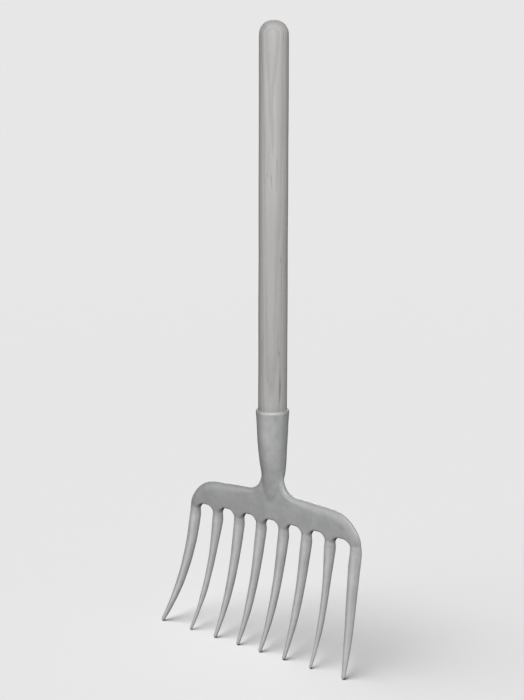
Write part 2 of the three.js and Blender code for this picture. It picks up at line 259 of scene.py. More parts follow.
def rings_mesh(rings):
    """Vertices and faces of a tube of rings, (rings, segments, 3), closed by a fan at each end.
    The fans' centres are the last two vertices."""
    count, segments, _ = rings.shape
    base = np.arange(count * segments).reshape(count, segments)
    a, b = base[:-1], base[1:]
    faces = np.stack([a, np.roll(a, -1, 1), np.roll(b, -1, 1), b], -1).reshape(-1, 4).tolist()
    start = count * segments
    for j in range(segments):
        faces.append([start, base[0][(j + 1) % segments], base[0][j]])
    for j in range(segments):
        faces.append([start + 1, base[-1][j], base[-1][(j + 1) % segments]])
    centres = [rings[0].mean(0, keepdims=True), rings[-1].mean(0, keepdims=True)]
    return np.concatenate([rings.reshape(-1, 3)] + centres), faces


def turned_rings(profile, segments):
    """Rings round the handle's axis from (height, radius) rows."""
    a = circle_angles(segments)
    return np.stack([
        np.stack([r * np.cos(a), AXIS_Y + r * np.sin(a), np.full(segments, MOUTH + h)], 1)
        for h, r in profile])


def bore_out(ob, parts):
    """Cuts closed ring tubes out of an object."""
    verts, faces, count = [], [], 0
    for part in parts:
        part_verts, part_faces = rings_mesh(part)
        verts.append(part_verts)
        faces += [[i + count for i in face] for face in part_faces]
        count += len(part_verts)
    cutter = new_object("cutter", np.concatenate(verts), faces)
    with editing(cutter.data) as bm:
        bmesh.ops.recalc_face_normals(bm, faces=bm.faces)
    modifier = ob.modifiers.new("bored", "BOOLEAN")
    modifier.operation, modifier.object, modifier.solver = "DIFFERENCE", cutter, "EXACT"
    bpy.context.view_layer.update()
    depsgraph = bpy.context.evaluated_depsgraph_get()
    mesh = bpy.data.meshes.new_from_object(ob.evaluated_get(depsgraph), depsgraph=depsgraph)
    old = ob.data
    ob.modifiers.clear()
    ob.data = mesh
    bpy.data.meshes.remove(old)
    bpy.data.objects.remove(cutter)


# ---- the crosshead's outline, as tables of distance ---------------------------------------

def arc(cx, cz, r, start_deg, end_deg):
    a = np.radians(np.linspace(start_deg, end_deg, 22))
    return np.stack([cx + r * np.cos(a), cz + r * np.sin(a)], 1)


def half_outlines():
    """Top and bottom outlines of the +X half; the bottom one runs from the end to the middle."""
    upper = np.vstack([[(0.0, PLATE_TOP)], catmull(SHOULDER)])
    lower = [[(TINE_X[3] - FINGER_R_OUTER, FINGER_END)]]
    for k in (3, 2, 1):
        outermost = k == 3
        right = TINE_X[k] - (FINGER_R_OUTER if outermost else FINGER_R)
        left = TINE_X[k - 1] + FINGER_R
        top = ARCH_TOP_OUTER if outermost else ARCH_TOP
        r = ARCH_R_END if outermost else ARCH_R
        lower += [arc(right - r, top - r, r, 0, 90),
                  arc(left + ARCH_R, top - ARCH_R, ARCH_R, 90, 180),
                  [(left, FINGER_END), (TINE_X[k - 1] - FINGER_R, FINGER_END)]]
    right = TINE_X[0] - FINGER_R
    lower += [arc(right - ARCH_R, ARCH_TOP - ARCH_R, ARCH_R, 0, 90), [(0.0, ARCH_TOP)]]
    return upper, np.vstack(lower)


TABLE_STEP = 0.5
TABLE_X = np.arange(-1.0, 163.01, TABLE_STEP)
TABLE_Z = np.arange(-200.0, -79.9, TABLE_STEP)


def polyline_distance(px, pz, line):
    best = np.full(px.shape, 1e9)
    for (ax, az), (bx, bz) in zip(line[:-1], line[1:]):
        dx, dz = bx - ax, bz - az
        length2 = dx * dx + dz * dz
        if length2 < 1e-12:
            continue
        t = np.clip(((px - ax) * dx + (pz - az) * dz) / length2, 0, 1)
        best = np.minimum(best, (px - ax - t * dx) ** 2 + (pz - az - t * dz) ** 2)
    return np.sqrt(best)


def build_tables():
    """Distances in from the top and bottom outlines, negative outside the nearer one."""
    upper, lower = half_outlines()
    px, pz = np.meshgrid(TABLE_X, TABLE_Z, indexing="ij")
    px = np.abs(px)
    up, low = polyline_distance(px, pz, upper), polyline_distance(px, pz, lower)
    ring = np.vstack([upper, lower])
    inside = np.zeros(px.shape, bool)
    for (xi, zi), (xj, zj) in zip(ring, np.roll(ring, 1, 0)):
        if zi != zj:
            inside ^= ((zi > pz) != (zj > pz)) & (px < (xj - xi) * (pz - zi) / (zj - zi) + xi)
    near_up = up <= low
    return np.where(inside | ~near_up, up, -up), np.where(inside | near_up, low, -low)


UP_TABLE, LOW_TABLE = build_tables()


def look_up(table, x, height):
    fx = np.clip((np.abs(x) - TABLE_X[0]) / TABLE_STEP, 0, len(TABLE_X) - 1.001)
    fz = np.clip((height - TABLE_Z[0]) / TABLE_STEP, 0, len(TABLE_Z) - 1.001)
    i, j = fx.astype(int), fz.astype(int)
    u, v = fx - i, fz - j
    return (table[i, j] * (1 - u) * (1 - v) + table[i + 1, j] * u * (1 - v)
            + table[i, j + 1] * (1 - u) * v + table[i + 1, j + 1] * u * v)


# ---- the forging as one smooth field, negative inside the metal ---------------------------

def corner_distance(across, along, r_across, r_along):
    """For offsets into a rounded corner, as shares of its radii: the share of the way out, which
    is 1 on the surface, and about the distance past the surface."""
    q = np.sqrt(across * across + along * along)
    slope = np.sqrt((across / r_across) ** 2 + (along / r_along) ** 2) + 1e-9
    return q, (q - 1) * np.maximum(q, 1e-6) / slope


def oval_distance(wide, deep, a, b):
    """About the distance past an ellipse with half-axes a and b."""
    q = np.sqrt((wide / a) ** 2 + (deep / b) ** 2) + 1e-9
    return (q - 1) * q / np.sqrt((wide / a ** 2) ** 2 + (deep / b ** 2) ** 2 + 1e-12)


def plate_field(x, y, z):
    """The crosshead plate: a long soft edge over the top and ends, a tighter one at the arches."""
    h = z - MOUTH
    up, low = look_up(UP_TABLE, x, h), look_up(LOW_TABLE, x, h)
    half = WEB_T / 2
    deep = np.abs(y - WEB_Y)
    r = TOP_EDGE_R + TOP_EDGE_GAIN * ease_in(np.abs(x), *TOP_EDGE_SPAN)
    soft = corner_distance(deep / half, np.maximum(r - up, 0) / r, half, r)[1]
    # the fingers under the arches turn rounder on their way down to the tines
    turn = ease_in(-h, *FINGER_TURN)
    r_deep = R_ARCH + (half - R_ARCH) * turn
    r_wide = R_ARCH + (R_FINGER - R_ARCH) * turn
    q, tight = corner_distance(np.maximum(deep - (half - r_deep), 0) / r_deep,
                               np.maximum(r_wide - low, 0) / r_wide, r_deep, r_wide)
    d = np.maximum(soft, np.where(q > 1e-3, tight, -r_deep))
    above = np.maximum(h - PLATE_TOP, 0)  # the plate stops inside the socket's foot
    return np.where(above > 0, np.maximum(d, above), d)


def socket_field(x, y, z):
    h = z - MOUTH
    a, b, drift = (smooth_table(SOCKET[:, [0, column]], h) for column in (1, 2, 3))
    deep = y - AXIS_Y - drift
    side = oval_distance(x, deep, a, b)
    # lip rounded over at the mouth
    radius = (np.sqrt((x / a) ** 2 + (deep / b) ** 2) + 1e-9) * a
    lip_h = LIP_RISE + LIP_DROP
    q, lip = corner_distance(np.maximum(radius - (a - LIP_WALL), 0) / LIP_WALL,
                             np.maximum(h + LIP_DROP, 0) / lip_h, LIP_WALL, lip_h)
    d = np.where(h > -LIP_DROP, np.where(q > 1e-6, lip, -LIP_WALL), side)
    return np.maximum(d, SOCKET_FOOT - h)


def tine_centre(pair, side, u):
    a, b, c = FORWARD
    p, q = SPLAY[pair]
    up = np.maximum(u, 0.0)
    bow = 4 * SAG[pair] * up * up * (1 - up) * (27 / 16)  # peaks at SAG
    low = np.maximum(u, SHOULDER_U)  # plumb above the shoulder
    forward = np.where(u > 0, a * u + b * u * u + c * u ** 3 + bow, a * low + EASE * low * low)
    return side * (TINE_X[pair] + p * up + q * up * up), AXIS_Y - forward, MOUTH + ROOT - DROP * u


def tine_tangent(pair, side, u):
    e = 1e-4
    ahead, behind = tine_centre(pair, side, u + e), tine_centre(pair, side, u - e)
    t = np.stack(np.broadcast_arrays(*(p - q for p, q in zip(ahead, behind))), -1)
    return t / np.linalg.norm(t, axis=-1, keepdims=True)


def tine_section(pair, u):
    """Half-width and half-depth of the tine's oval body, with a soft shoulder where it starts."""
    table = TINE_SECTION[pair]
    w, d = smooth_table(table[:, [0, 1]], u), smooth_table(table[:, [0, 2]], u)
    s = (u - SHOULDER_U) * DROP
    w = w - 0.9 * (1 - ease_in(s, -5.0, 4.0)) - 1.4 * (1 - ease_in(s, -9.0, -3.5))
    return w, d - 1.0 * (1 - ease_in(s, -8.5, 1.0)) - 1.3 * (1 - ease_in(s, -9.5, -3.5))


def tine_field(pair, side, x, y, z):
    u = (MOUTH + ROOT - z) / DROP
    cx, cy, _ = tine_centre(pair, side, u)
    t = tine_tangent(pair, side, u)
    dx, dy = x - cx, y - cy
    # the sideways offset square to the tine, split into its width and its depth
    along = dx * t[..., 0] + dy * t[..., 1]
    flat = np.sqrt(1 - t[..., 0] ** 2)
    wide = (dx - along * t[..., 0]) / flat
    deep = dy * t[..., 2] / flat
    square_u = u + along / DROP  # the station that the point is square to
    d = oval_distance(wide, deep, *tine_section(pair, square_u))
    return np.maximum(d, -9.0 - (square_u - SHOULDER_U) * DROP)  # ends 9 above the shoulder


# the seam between crosshead and tines; its normal points down, out of the crosshead
CUT_POINT = np.array([0.0, *tine_centre(0, 1, SHOULDER_U)[1:]])
CUT_NORMAL = tine_tangent(0, 1, SHOULDER_U)


def cut_height(y, z):
    """Distance past the seam; positive on the tines' side."""
    return (y - CUT_POINT[1]) * CUT_NORMAL[1] + (z - CUT_POINT[2]) * CUT_NORMAL[2]


def trimmed_plate(x, y, z):
    return np.maximum(plate_field(x, y, z), cut_height(y, z) - PLATE_OVERRUN)


def head_field(x, y, z, tines=True):
    d = smooth_min(trimmed_plate(x, y, z), socket_field(x, y, z), SOCKET_BLEND)
    if tines:
        for pair in range(4):
            # both sides at once by symmetry
            d = smooth_min(d, tine_field(pair, 1, np.abs(x), y, z), TINE_BLEND)
    return d + hammered(x, y, z)


def tine_union(pair, side, x, y, z):
    """The field round one tine: its body, the finger it grows from, and slight unevenness."""
    d = smooth_min(trimmed_plate(x, y, z), tine_field(pair, side, x, y, z), TINE_BLEND)
    own_share = np.clip(cut_height(y, z) / 25.0, 0, 1)
    seed = 40 + pair * 2 + (side > 0)
    own = 0.11 * ripple(x * 1.6, y * 1.6, z * 0.55, seed, wave=17.0)
    return d + hammered(x, y, z) * (1 - own_share) + own * own_share


# ---- from field to mesh -------------------------------------------------------------------

def project(points, field):
    """Moves points on to the field's surface in three limited steps."""
    p = np.array(points, float)
    h, limit = 0.04, 0.8
    for _ in range(3):
        f = field(*p.T)
        g = np.stack([field(*(p + e).T) - field(*(p - e).T) for e in np.eye(3) * h], 1) / (2 * h)
        step = -(f / np.maximum((g * g).sum(1), 0.05))[:, None] * g
        length = np.linalg.norm(step, axis=1, keepdims=True)
        p += step * np.minimum(1, limit / np.maximum(length, 1e-9))
    return p


def surface_nets(grid, values):
    """Quad mesh of values = 0 on a rectilinear grid: one vertex in each crossed cell."""
    nx, ny, nz = values.shape
    inside = values < 0
    total = np.zeros((nx - 1, ny - 1, nz - 1), np.int8)
    corners = [(i, j, k) for i in (0, 1) for j in (0, 1) for k in (0, 1)]
    for i, j, k in corners:
        total += inside[i:nx - 1 + i, j:ny - 1 + j, k:nz - 1 + k]
    active = (total > 0) & (total < 8)
    index = np.full(active.shape, -1, np.int64)
    index[active] = np.arange(active.sum())
    cells = np.nonzero(active)

    def corner(offset):
        at = tuple(c + o for c, o in zip(cells, offset))
        return values[at].astype(float), np.stack([line[i] for line, i in zip(grid, at)], 1)

    # each vertex is the mean of the crossings on its cell's edges
    sums, counts = np.zeros((len(cells[0]), 3)), np.zeros(len(cells[0]))
    for start in corners:
        for axis in range(3):
            if start[axis] == 1:
                continue
            end = list(start)
            end[axis] = 1
            fa, pa = corner(start)
            fb, pb = corner(end)
            crossed = (fa < 0) != (fb < 0)
            t = np.where(crossed, fa / np.where(crossed, fa - fb, 1), 0)
            sums[crossed] += (pa + (pb - pa) * t[:, None])[crossed]
            counts[crossed] += 1

    # each crossed grid edge makes a quad of the four cells round it
    faces = []
    for axis in range(3):
        second, third = (axis + 1) % 3, (axis + 2) % 3
        near, far = [slice(1, -1)] * 3, [slice(1, -1)] * 3
        near[axis], far[axis] = slice(None, -1), slice(1, None)
        at = np.array(np.nonzero(inside[tuple(near)] != inside[tuple(far)]))
        at[[second, third]] += 1
        quad = []
        for back_second, back_third in ((1, 1), (0, 1), (0, 0), (1, 0)):
            cell = at.copy()
            cell[second] -= back_second
            cell[third] -= back_third
            quad.append(index[tuple(cell)])
        quad = np.stack(quad, 1)
        flip = ~inside[tuple(at)]
        quad[flip] = quad[flip][:, ::-1]
        faces.append(quad)
    return sums / counts[:, None], np.concatenate(faces)


def graded(*runs):
    """Grid lines from (start, end, spacing) runs."""
    coarse = 1.0
    out = [runs[0][0]]
    for start, end, spacing in runs:
        n = max(1, int(round(abs(end - start) / (spacing * coarse))))
        out += list(np.linspace(start, end, n + 1)[1:])
    return np.array(out)


def head_surface():
    # finer over the socket in X, the plate in Y, and the fingers and lip in Z
    xs = graded((-155.5, -26, 0.9), (-26, 26, 0.7), (26, 155.5, 0.9))
    ys = graded((AXIS_Y - 26.0, -13, 0.8), (-13, 2.5, 0.6), (2.5, AXIS_Y + 26.0, 0.8))
    zs = graded((CUT_POINT[2] - 12, MOUTH - 155, 0.6), (MOUTH - 155, MOUTH - 8, 0.9),
                (MOUTH - 8, LIP_TOP + 2.0, 0.45))
    values = np.empty((len(xs), len(ys), len(zs)), np.float32)
    slab = 24
    for k in range(0, len(zs), slab):
        values[:, :, k:k + slab] = head_field(
            xs[:, None, None], ys[None, :, None], zs[None, None, k:k + slab],
            tines=zs[k] < MOUTH - 148)  # no tine reaches higher
    verts, quads = surface_nets((xs, ys, zs), values)
    return project(verts, head_field), quads


# ---- the pieces ---------------------------------------------------------------------------

def tine_frame(pair, side, u):
    """Centre, tangent, and the two directions across a tine."""
    centre = np.array([float(v) for v in tine_centre(pair, side, u)])
    tangent = tine_tangent(pair, side, u)
    across = np.array([1.0, 0, 0]) - tangent[0] * tangent
    across /= np.linalg.norm(across)
    return centre, tangent, across, np.cross(tangent, across)


def shoulder_rings(pair, side, profile, segments):
    """Rings of a straight pin at the seam, from (distance down past it, radius) rows."""
    centre, tangent, n1, n2 = tine_frame(pair, side, SHOULDER_U)
    a = circle_angles(segments)
    return np.array([
        centre + tangent * s + r * (np.cos(a)[:, None] * n1 + np.sin(a)[:, None] * n2)
        for s, r in profile])


NAIL_FACE_Y = AXIS_Y + float(smooth_table(SOCKET[:, [0, 2]], np.array([NAIL_Z]))[0])


def nail_rings(profile):
    """Rings round the nail's axis from (distance out from the socket's rear wall, radius) rows."""
    a = circle_angles(40)
    return np.stack([
        np.stack([r * np.cos(a), np.full(40, NAIL_FACE_Y + y), MOUTH + NAIL_Z - r * np.sin(a)], 1)
        for y, r in profile])


def bore_rows(start, end, count, clearance):
    heights = np.linspace(start, end, count)
    return list(zip(heights, smooth_table(BORE, heights) - clearance))


def make_handle():
    top = HANDLE_TOP - MOUTH
    # height, radius: the end in the socket, then the collar
    rows = [(BORE_END + 1.2, 11.2), (BORE_END + 1.25, 11.6), (-73.2, 13.7)]
    rows += bore_rows(-71, -2, 24, clearance=0.34)
    rows += [(0.0, HANDLE_R_COLLAR - 0.02), (0.6, HANDLE_R_COLLAR)]
    dome = HANDLE_R_TOP
    shaft_rows, dome_rows = 110, 26
    for k in range(1, shaft_rows + 1):
        h = 0.6 + (top - dome - 0.6) * k / shaft_rows
        rows.append((h, HANDLE_R_COLLAR + (HANDLE_R_TOP - HANDLE_R_COLLAR) * h / top))
    for k in range(1, dome_rows):
        a = k / dome_rows * math.pi / 2
        rows.append((top - dome + dome * math.sin(a) ** 0.909, HANDLE_R_TOP * math.cos(a) ** 0.909))
    rings = turned_rings(rows, 128)
    # a hand-shaved shaft: long, shallow unevenness that fades at the socket and over the dome
    x, y, z = rings[..., 0], rings[..., 1] - AXIS_Y, rings[..., 2] - MOUTH
    fade = np.clip((z - 2) / 25, 0, 1) * np.clip((top - z) / 12, 0, 1)
    uneven = (0.13 * ripple(x * 1.7, y * 1.7, z * 0.28, seed=5, wave=36.0)
              + 0.05 * ripple(x * 3.1, y * 3.1, z * 0.22, seed=6, wave=24.0))
    k = 1 + fade * uneven / np.maximum(np.hypot(x, y), 1)
    rings[..., 0] = x * k
    rings[..., 1] = AXIS_Y + y * k
    verts, faces = rings_mesh(rings)
    verts[-1] = (0, AXIS_Y, HANDLE_TOP)
    ob = new_object("handle_shaft", verts, faces)
    finish_mesh(ob, sharp_deg=50)
    return ob


def make_head():
    ob = new_object("head_forging", *head_surface())
    with editing(ob.data) as bm:
        bmesh.ops.recalc_face_normals(bm, faces=bm.faces)
        bmesh.ops.bisect_plane(
            bm, geom=bm.verts[:] + bm.edges[:] + bm.faces[:],
            plane_co=Vector((CUT_POINT + CUT_NORMAL * -SEAM) * MM), plane_no=Vector(CUT_NORMAL),
            clear_outer=True, dist=1e-7)
        open_edges = [e for e in bm.edges if e.is_boundary]
        bmesh.ops.holes_fill(bm, edges=open_edges, sides=0)
    # the handle's bore, flared at the mouth: height, radius
    bore = [(BORE_END - 2.5, 2.0), (BORE_END, BORE_END_R)]
    bore += bore_rows(-74, -0.2, 26, clearance=0.16)
    bore += [(0.4, 20.42), (1.2, 20.75), (1.8, 21.35), (2.6, 22.2), (9.0, 22.4)]
    parts = [turned_rings(bore, 112)]
    tenon_hole = [(-TENON_L - 0.3, TENON_R + 0.15), (2.0, TENON_R + 0.15)]
    for side in (-1, 1):
        for pair in range(4):
            parts.append(shoulder_rings(pair, side, tenon_hole, 28))
    bore_out(ob, parts)
    shank_r, head_r = NAIL_R + 0.12, NAIL_HEAD_R + 0.14
    nail_hole = [(-NAIL_L - 0.3, 0.3), (-NAIL_L + 4.8, shank_r), (-3.25, shank_r),
                 (-0.75, head_r), (4.0, head_r)]
    bore_out(ob, [nail_rings(nail_hole)])  # by itself, because it runs into the bore
    finish_mesh(ob, sharp_deg=40)
    return ob


def tine_ring(pair, side, u, angles):
    """One ring of a tine, its radii found on the tine's field."""
    centre, _, n1, n2 = tine_frame(pair, side, u)
    w, d = (float(v) for v in tine_section(pair, u))
    way = np.stack([w * np.cos(angles), d * np.sin(angles)], 1)
    r = np.linalg.norm(way, axis=1)
    way /= r[:, None]
    out = way[:, :1] * n1 + way[:, 1:] * n2
    probe = 0.02
    for _ in range(5):
        f = tine_union(pair, side, *(centre + out * r[:, None]).T)
        g = (tine_union(pair, side, *(centre + out * (r[:, None] + probe)).T) - f) / probe
        r = np.clip(r - np.clip(f / np.where(np.abs(g) < 0.2, 0.2, g), -0.6, 0.6), 1.0, 14.0)
    return centre + out * r[:, None]


def make_tine(number):
    """Tines are numbered 1 to 8 from left to right."""
    side = -1 if number <= 4 else 1
    pair = 4 - number if number <= 4 else number - 5
    segments = 56
    # distances below the seam, close together at the shoulder
    below = [np.linspace(0, 6, 16, endpoint=False), np.linspace(6, DROP + 3.4, 96)]
    stations = SHOULDER_U + (SEAM + np.concatenate(below)) / DROP
    rings = [tine_ring(pair, side, u, circle_angles(segments)) for u in stations]
    # blunt, worn tip
    centre, tangent, _, _ = tine_frame(pair, side, stations[-1])
    last = rings[-1] - centre
    left = (1.0 - stations[-1]) * DROP / abs(tangent[2])
    for k in np.linspace(0.16, 1.0, 8)[:-1]:
        a = k * math.pi / 2
        rings.append(centre + tangent * left * math.sin(a) ** 0.9 + last * math.cos(a) ** 0.62)
    # tenon, from its end down to the shoulder face
    tenon = [(-TENON_L, TENON_R - 0.7), (-TENON_L + 0.7, TENON_R), (SEAM - 0.35, TENON_R),
             (SEAM, TENON_R + 0.3)]
    pin = shoulder_rings(pair, side, tenon, segments)
    verts, faces = rings_mesh(np.concatenate([pin, np.array(rings)]))
    verts[-1] = centre + tangent * left
    ob = new_object(f"tine_{number}_drawn", verts, faces)
    finish_mesh(ob, sharp_deg=40)
    return ob


def make_nail():
    """A point, a plain shank, and a countersunk, slightly domed head flush with the wall."""
    rings = nail_rings([
        (-NAIL_L, 0.12), (-NAIL_L + 1.0, 0.6), (-NAIL_L + 4.6, NAIL_R - 0.15),
        (-NAIL_L + 5.6, NAIL_R), (-3.3, NAIL_R), (-0.95, NAIL_HEAD_R - 0.04),
        (-0.25, NAIL_HEAD_R), (-0.05, NAIL_HEAD_R - 0.12), (0.1, NAIL_HEAD_R - 0.5),
        (0.2, NAIL_HEAD_R - 1.3), (0.26, NAIL_HEAD_R - 2.6), (0.28, 0.8)])
    dome = rings[-4:]
    x, y, z = np.moveaxis(dome, -1, 0)
    dome[..., 1] = y + 0.06 * ripple(x, y, z, seed=9, wave=5.0)
    ob = new_object("nail_steel", *rings_mesh(rings))
    finish_mesh(ob, sharp_deg=40)
    return ob


handle = make_handle()
head = make_head()
tines = [make_tine(i) for i in range(1, 9)]
nail = make_nail()


# ---- materials ----------------------------------------------------------------------------

def empty_tree(owner):
    owner.use_nodes = True
    owner.node_tree.nodes.clear()
    return owner.node_tree


class Net:
    """A procedural material. Positions are in millimetres from an origin in the frame."""

    def __init__(self, name, origin=(0.0, 0.0, 0.0)):
        self.material = bpy.data.materials.new(name)
        self.tree = empty_tree(self.material)
        out = self.node("OutputMaterial")
        self.bsdf = self.node("BsdfPrincipled")
        self.tree.links.new(self.bsdf.outputs["BSDF"], out.inputs["Surface"])
        coord = self.node("TexCoord").outputs["Object"]
        self.place = self.vec("SUBTRACT", self.vec("SCALE", coord, scale=1 / MM), origin)

    def node(self, kind):
        return self.tree.nodes.new("ShaderNode" + kind)

    def put(self, socket, value):
        if isinstance(value, bpy.types.NodeSocket):
            self.tree.links.new(value, socket)
        else:
            socket.default_value = value

    def vec(self, op, a, b=None, scale=None):
        n = self.node("VectorMath")
        n.operation = op
        self.put(n.inputs[0], a)
        if b is not None:
            self.put(n.inputs[1], b)
        if scale is not None:
            self.put(n.inputs["Scale"], scale)
        return n.outputs["Value"] if op == "LENGTH" else n.outputs["Vector"]

    def split(self, vector):
        n = self.node("SeparateXYZ")
        self.put(n.inputs[0], vector)
        return n.outputs

    def math(self, op, a, b=0.0):
        n = self.node("Math")
        n.operation = op
        for socket, value in zip(n.inputs, (a, b, 0.0)):
            self.put(socket, value)
        return n.outputs[0]

    def add(self, total, *more):
        for value in more:
            total = self.math("ADD", total, value)
        return total

    def mul(self, a, b):
        return self.math("MULTIPLY", a, b)

    def sub(self, a, b):
        return self.math("SUBTRACT", a, b)

    def sway(self, noise, amount):
        """Noise centred on zero, times an amount."""
        return self.mul(self.sub(noise, 0.5), amount)

    def mix(self, t, a, b):
        return self.add(self.mul(a, self.sub(1.0, t)), self.mul(b, t))

    def stretch(self, size, place):
        """Positions divided by a feature size along each axis."""
        return self.vec("MULTIPLY", place, tuple(1 / s for s in size))

    def noise(self, size, detail=2.0, rough=0.5, distort=0.0, shift=0.0):
        n = self.node("TexNoise")
        n.noise_dimensions = "3D"
        v = self.stretch(size, self.place)
        if shift:
            v = self.vec("ADD", v, (shift, -1.7 * shift, 0.6 * shift))
        for key, value in (("Vector", v), ("Scale", 1.0), ("Detail", detail),
                           ("Roughness", rough), ("Distortion", distort)):
            self.put(n.inputs[key], value)
        return n.outputs["Fac"]

    def cells(self, size, offset, smooth=0.0):
        """Distance to the nearest of scattered points."""
        n = self.node("TexVoronoi")
        n.feature = "SMOOTH_F1" if smooth else "F1"
        self.put(n.inputs["Vector"], self.stretch(size, self.vec("ADD", self.place, offset)))
        self.put(n.inputs["Scale"], 1.0)
        if smooth:
            self.put(n.inputs["Smoothness"], smooth)
        return n.outputs["Distance"]

    def fade(self, value, source, target=(0.0, 1.0)):
        """Eases from one target to the other as the value crosses the source, held outside."""
        n = self.node("MapRange")
        n.interpolation_type = "SMOOTHSTEP"
        n.clamp = True
        for key, val in (("Value", value), ("From Min", source[0]), ("From Max", source[1]),
                         ("To Min", target[0]), ("To Max", target[1])):
            self.put(n.inputs[key], val)
        return n.outputs["Result"]

    def ramp(self, value, stops):
        """Grey ramp through (position, grey) stops."""
        n = self.node("ValToRGB")
        n.color_ramp.interpolation = "B_SPLINE"
        elements = n.color_ramp.elements
        while len(elements) < len(stops):
            elements.new(0.5)
        for element, (position, grey) in zip(elements, stops):
            element.position = position
            element.color = (grey, grey, grey, 1.0)
        self.put(n.inputs["Fac"], value)
        return self.math("ADD", n.outputs["Color"], 0.0)

    def surface(self, grey, tint, rough, metal, bump, bump_mm, bump_strength, specular):
        colour = self.node("CombineColor")
        for socket, k in zip(colour.inputs, tint):
            self.put(socket, self.mul(grey, k))
        relief = self.node("Bump")
        self.put(relief.inputs["Strength"], bump_strength)
        self.put(relief.inputs["Distance"], bump_mm * MM)
        self.put(relief.inputs["Height"], bump)
        for key, value in (("Base Color", colour.outputs[0]), ("Roughness", rough),
                           ("Metallic", metal), ("Normal", relief.outputs["Normal"]),
                           ("Specular IOR Level", specular)):
            self.put(self.bsdf.inputs[key], value)


WOOD, STEEL = 0.50, 0.505  # base greys


def ash():
    """Weathered ash: wandering year rings with open pores, fine fibre, a few drying checks and
    hand polish. Heights are above the socket's mouth."""
    m = Net("ash_weathered", origin=(0.0, AXIS_Y, MOUTH))
    height = m.split(m.place)[2]
    wander = m.noise((26, 26, 300))
    waver = m.noise((7, 7, 90), detail=1.0, shift=3.1)
    # distance from the tree's centre, off to the back and left, with the grain running out slowly
    tree_centre, ring_pitch = (-15.0, 27.0, 0.0), 2.9
    flat = m.vec("MULTIPLY", m.vec("SUBTRACT", m.place, tree_centre), (1.0, 1.0, 0.0))
    dist = m.add(m.vec("LENGTH", flat), m.mul(height, 0.012), m.sway(wander, 9.0),
                 m.sway(waver, 1.2))
    ring = m.math("FRACT", m.mul(dist, 1 / ring_pitch))
    ring_contrast = m.noise((60, 60, 420), detail=1.0, shift=7.7)
    late = m.ramp(ring, [(0.0, 0.80), (0.06, 0.10), (0.22, 0.16), (0.42, 0.62), (0.80, 0.92),
                         (1.0, 0.80)])
    early = m.sub(1.0, late)
    pore_field = m.noise((0.42, 0.42, 7.0), rough=0.6, shift=1.3)
    pore = m.mul(m.fade(pore_field, (0.56, 0.66)), m.fade(early, (0.25, 0.75), (0.22, 1.0)))
    fibre = m.noise((0.7, 0.7, 34), detail=3.0, rough=0.65, shift=5.2)
    streak = m.noise((3.4, 3.4, 150), rough=0.55, shift=9.4)
    cloud = m.noise((38, 38, 120), detail=3.0, rough=0.55, shift=11.9)
    # drying checks follow the middle value of a long noise, in some places only
    crack_noise = m.noise((5.2, 5.2, 170), detail=1.0, rough=0.4, shift=21.4)
    crack_line = m.math("ABSOLUTE", m.sub(crack_noise, 0.5))
    crack_where = m.fade(m.noise((16, 16, 95), detail=1.0, shift=17.0), (0.55, 0.63))
    crack = m.mul(m.fade(crack_line, (0.0, 0.011), (1.0, 0.0)), crack_where)
    # polish where two hands hold it, and dust caught above the socket
    top_hand = m.fade(height, (360.0, 470.0))
    low_hand = m.mul(m.fade(height, (120.0, 185.0)), m.fade(height, (265.0, 330.0), (1.0, 0.0)))
    hand = m.mul(m.math("MAXIMUM", m.mul(top_hand, 0.9), m.mul(low_hand, 0.8)),
                 m.fade(cloud, (0.25, 0.62), (0.55, 1.0)))
    grime = m.mul(m.fade(height, (1.0, 13.0), (1.0, 0.0)), m.fade(cloud, (0.2, 0.7), (0.5, 1.0)))
    scuff_noise = m.noise((2.4, 2.4, 5.5), detail=4.0, rough=0.7, shift=31.0)
    scuff = m.mul(m.fade(scuff_noise, (0.64, 0.75)), m.fade(cloud, (0.4, 0.6), (1.0, 0.3)))
    end = m.fade(height, (504.0, 524.0))  # end grain takes no polish

    grey = m.add(1.0, m.mul(m.sub(late, 0.62), m.mix(ring_contrast, 0.10, 0.19)),
                 m.sway(fibre, 0.13), m.sway(streak, 0.16), m.sway(cloud, 0.10))
    darkening = m.add(m.mul(pore, 0.16), m.mul(crack, 0.5), m.mul(grime, 0.14), m.mul(hand, 0.03))
    grey = m.mul(grey, m.sub(1.0, darkening))
    # painted shade: darker along the side that faces left
    facing = m.split(m.node("NewGeometry").outputs["Normal"])[0]
    grey = m.mul(m.add(grey, m.mul(scuff, 0.03)),
                 m.mul(WOOD, m.fade(facing, (0.25, -0.35), (1.0, 0.90))))
    grey = m.mul(grey, m.add(1.0, m.mul(end, 0.035)))
    rough = m.add(0.58, m.sway(fibre, 0.16), m.mul(pore, 0.1), m.mul(crack, 0.1),
                  m.mul(hand, -0.12), m.mul(grime, 0.08), m.mul(end, 0.22))
    bump = m.add(m.mul(late, 0.36), m.mul(fibre, 0.30), m.mul(streak, 0.22), m.mul(pore, -0.42),
                 m.mul(crack, -1.7))
    m.surface(grey, tint=(1.012, 1.0, 0.982), rough=rough, metal=0.0, bump=bump, bump_mm=0.30,
              bump_strength=m.mul(m.mix(hand, 1.0, 0.5), 0.7), specular=m.mix(end, 0.35, 0.1))
    return m.material


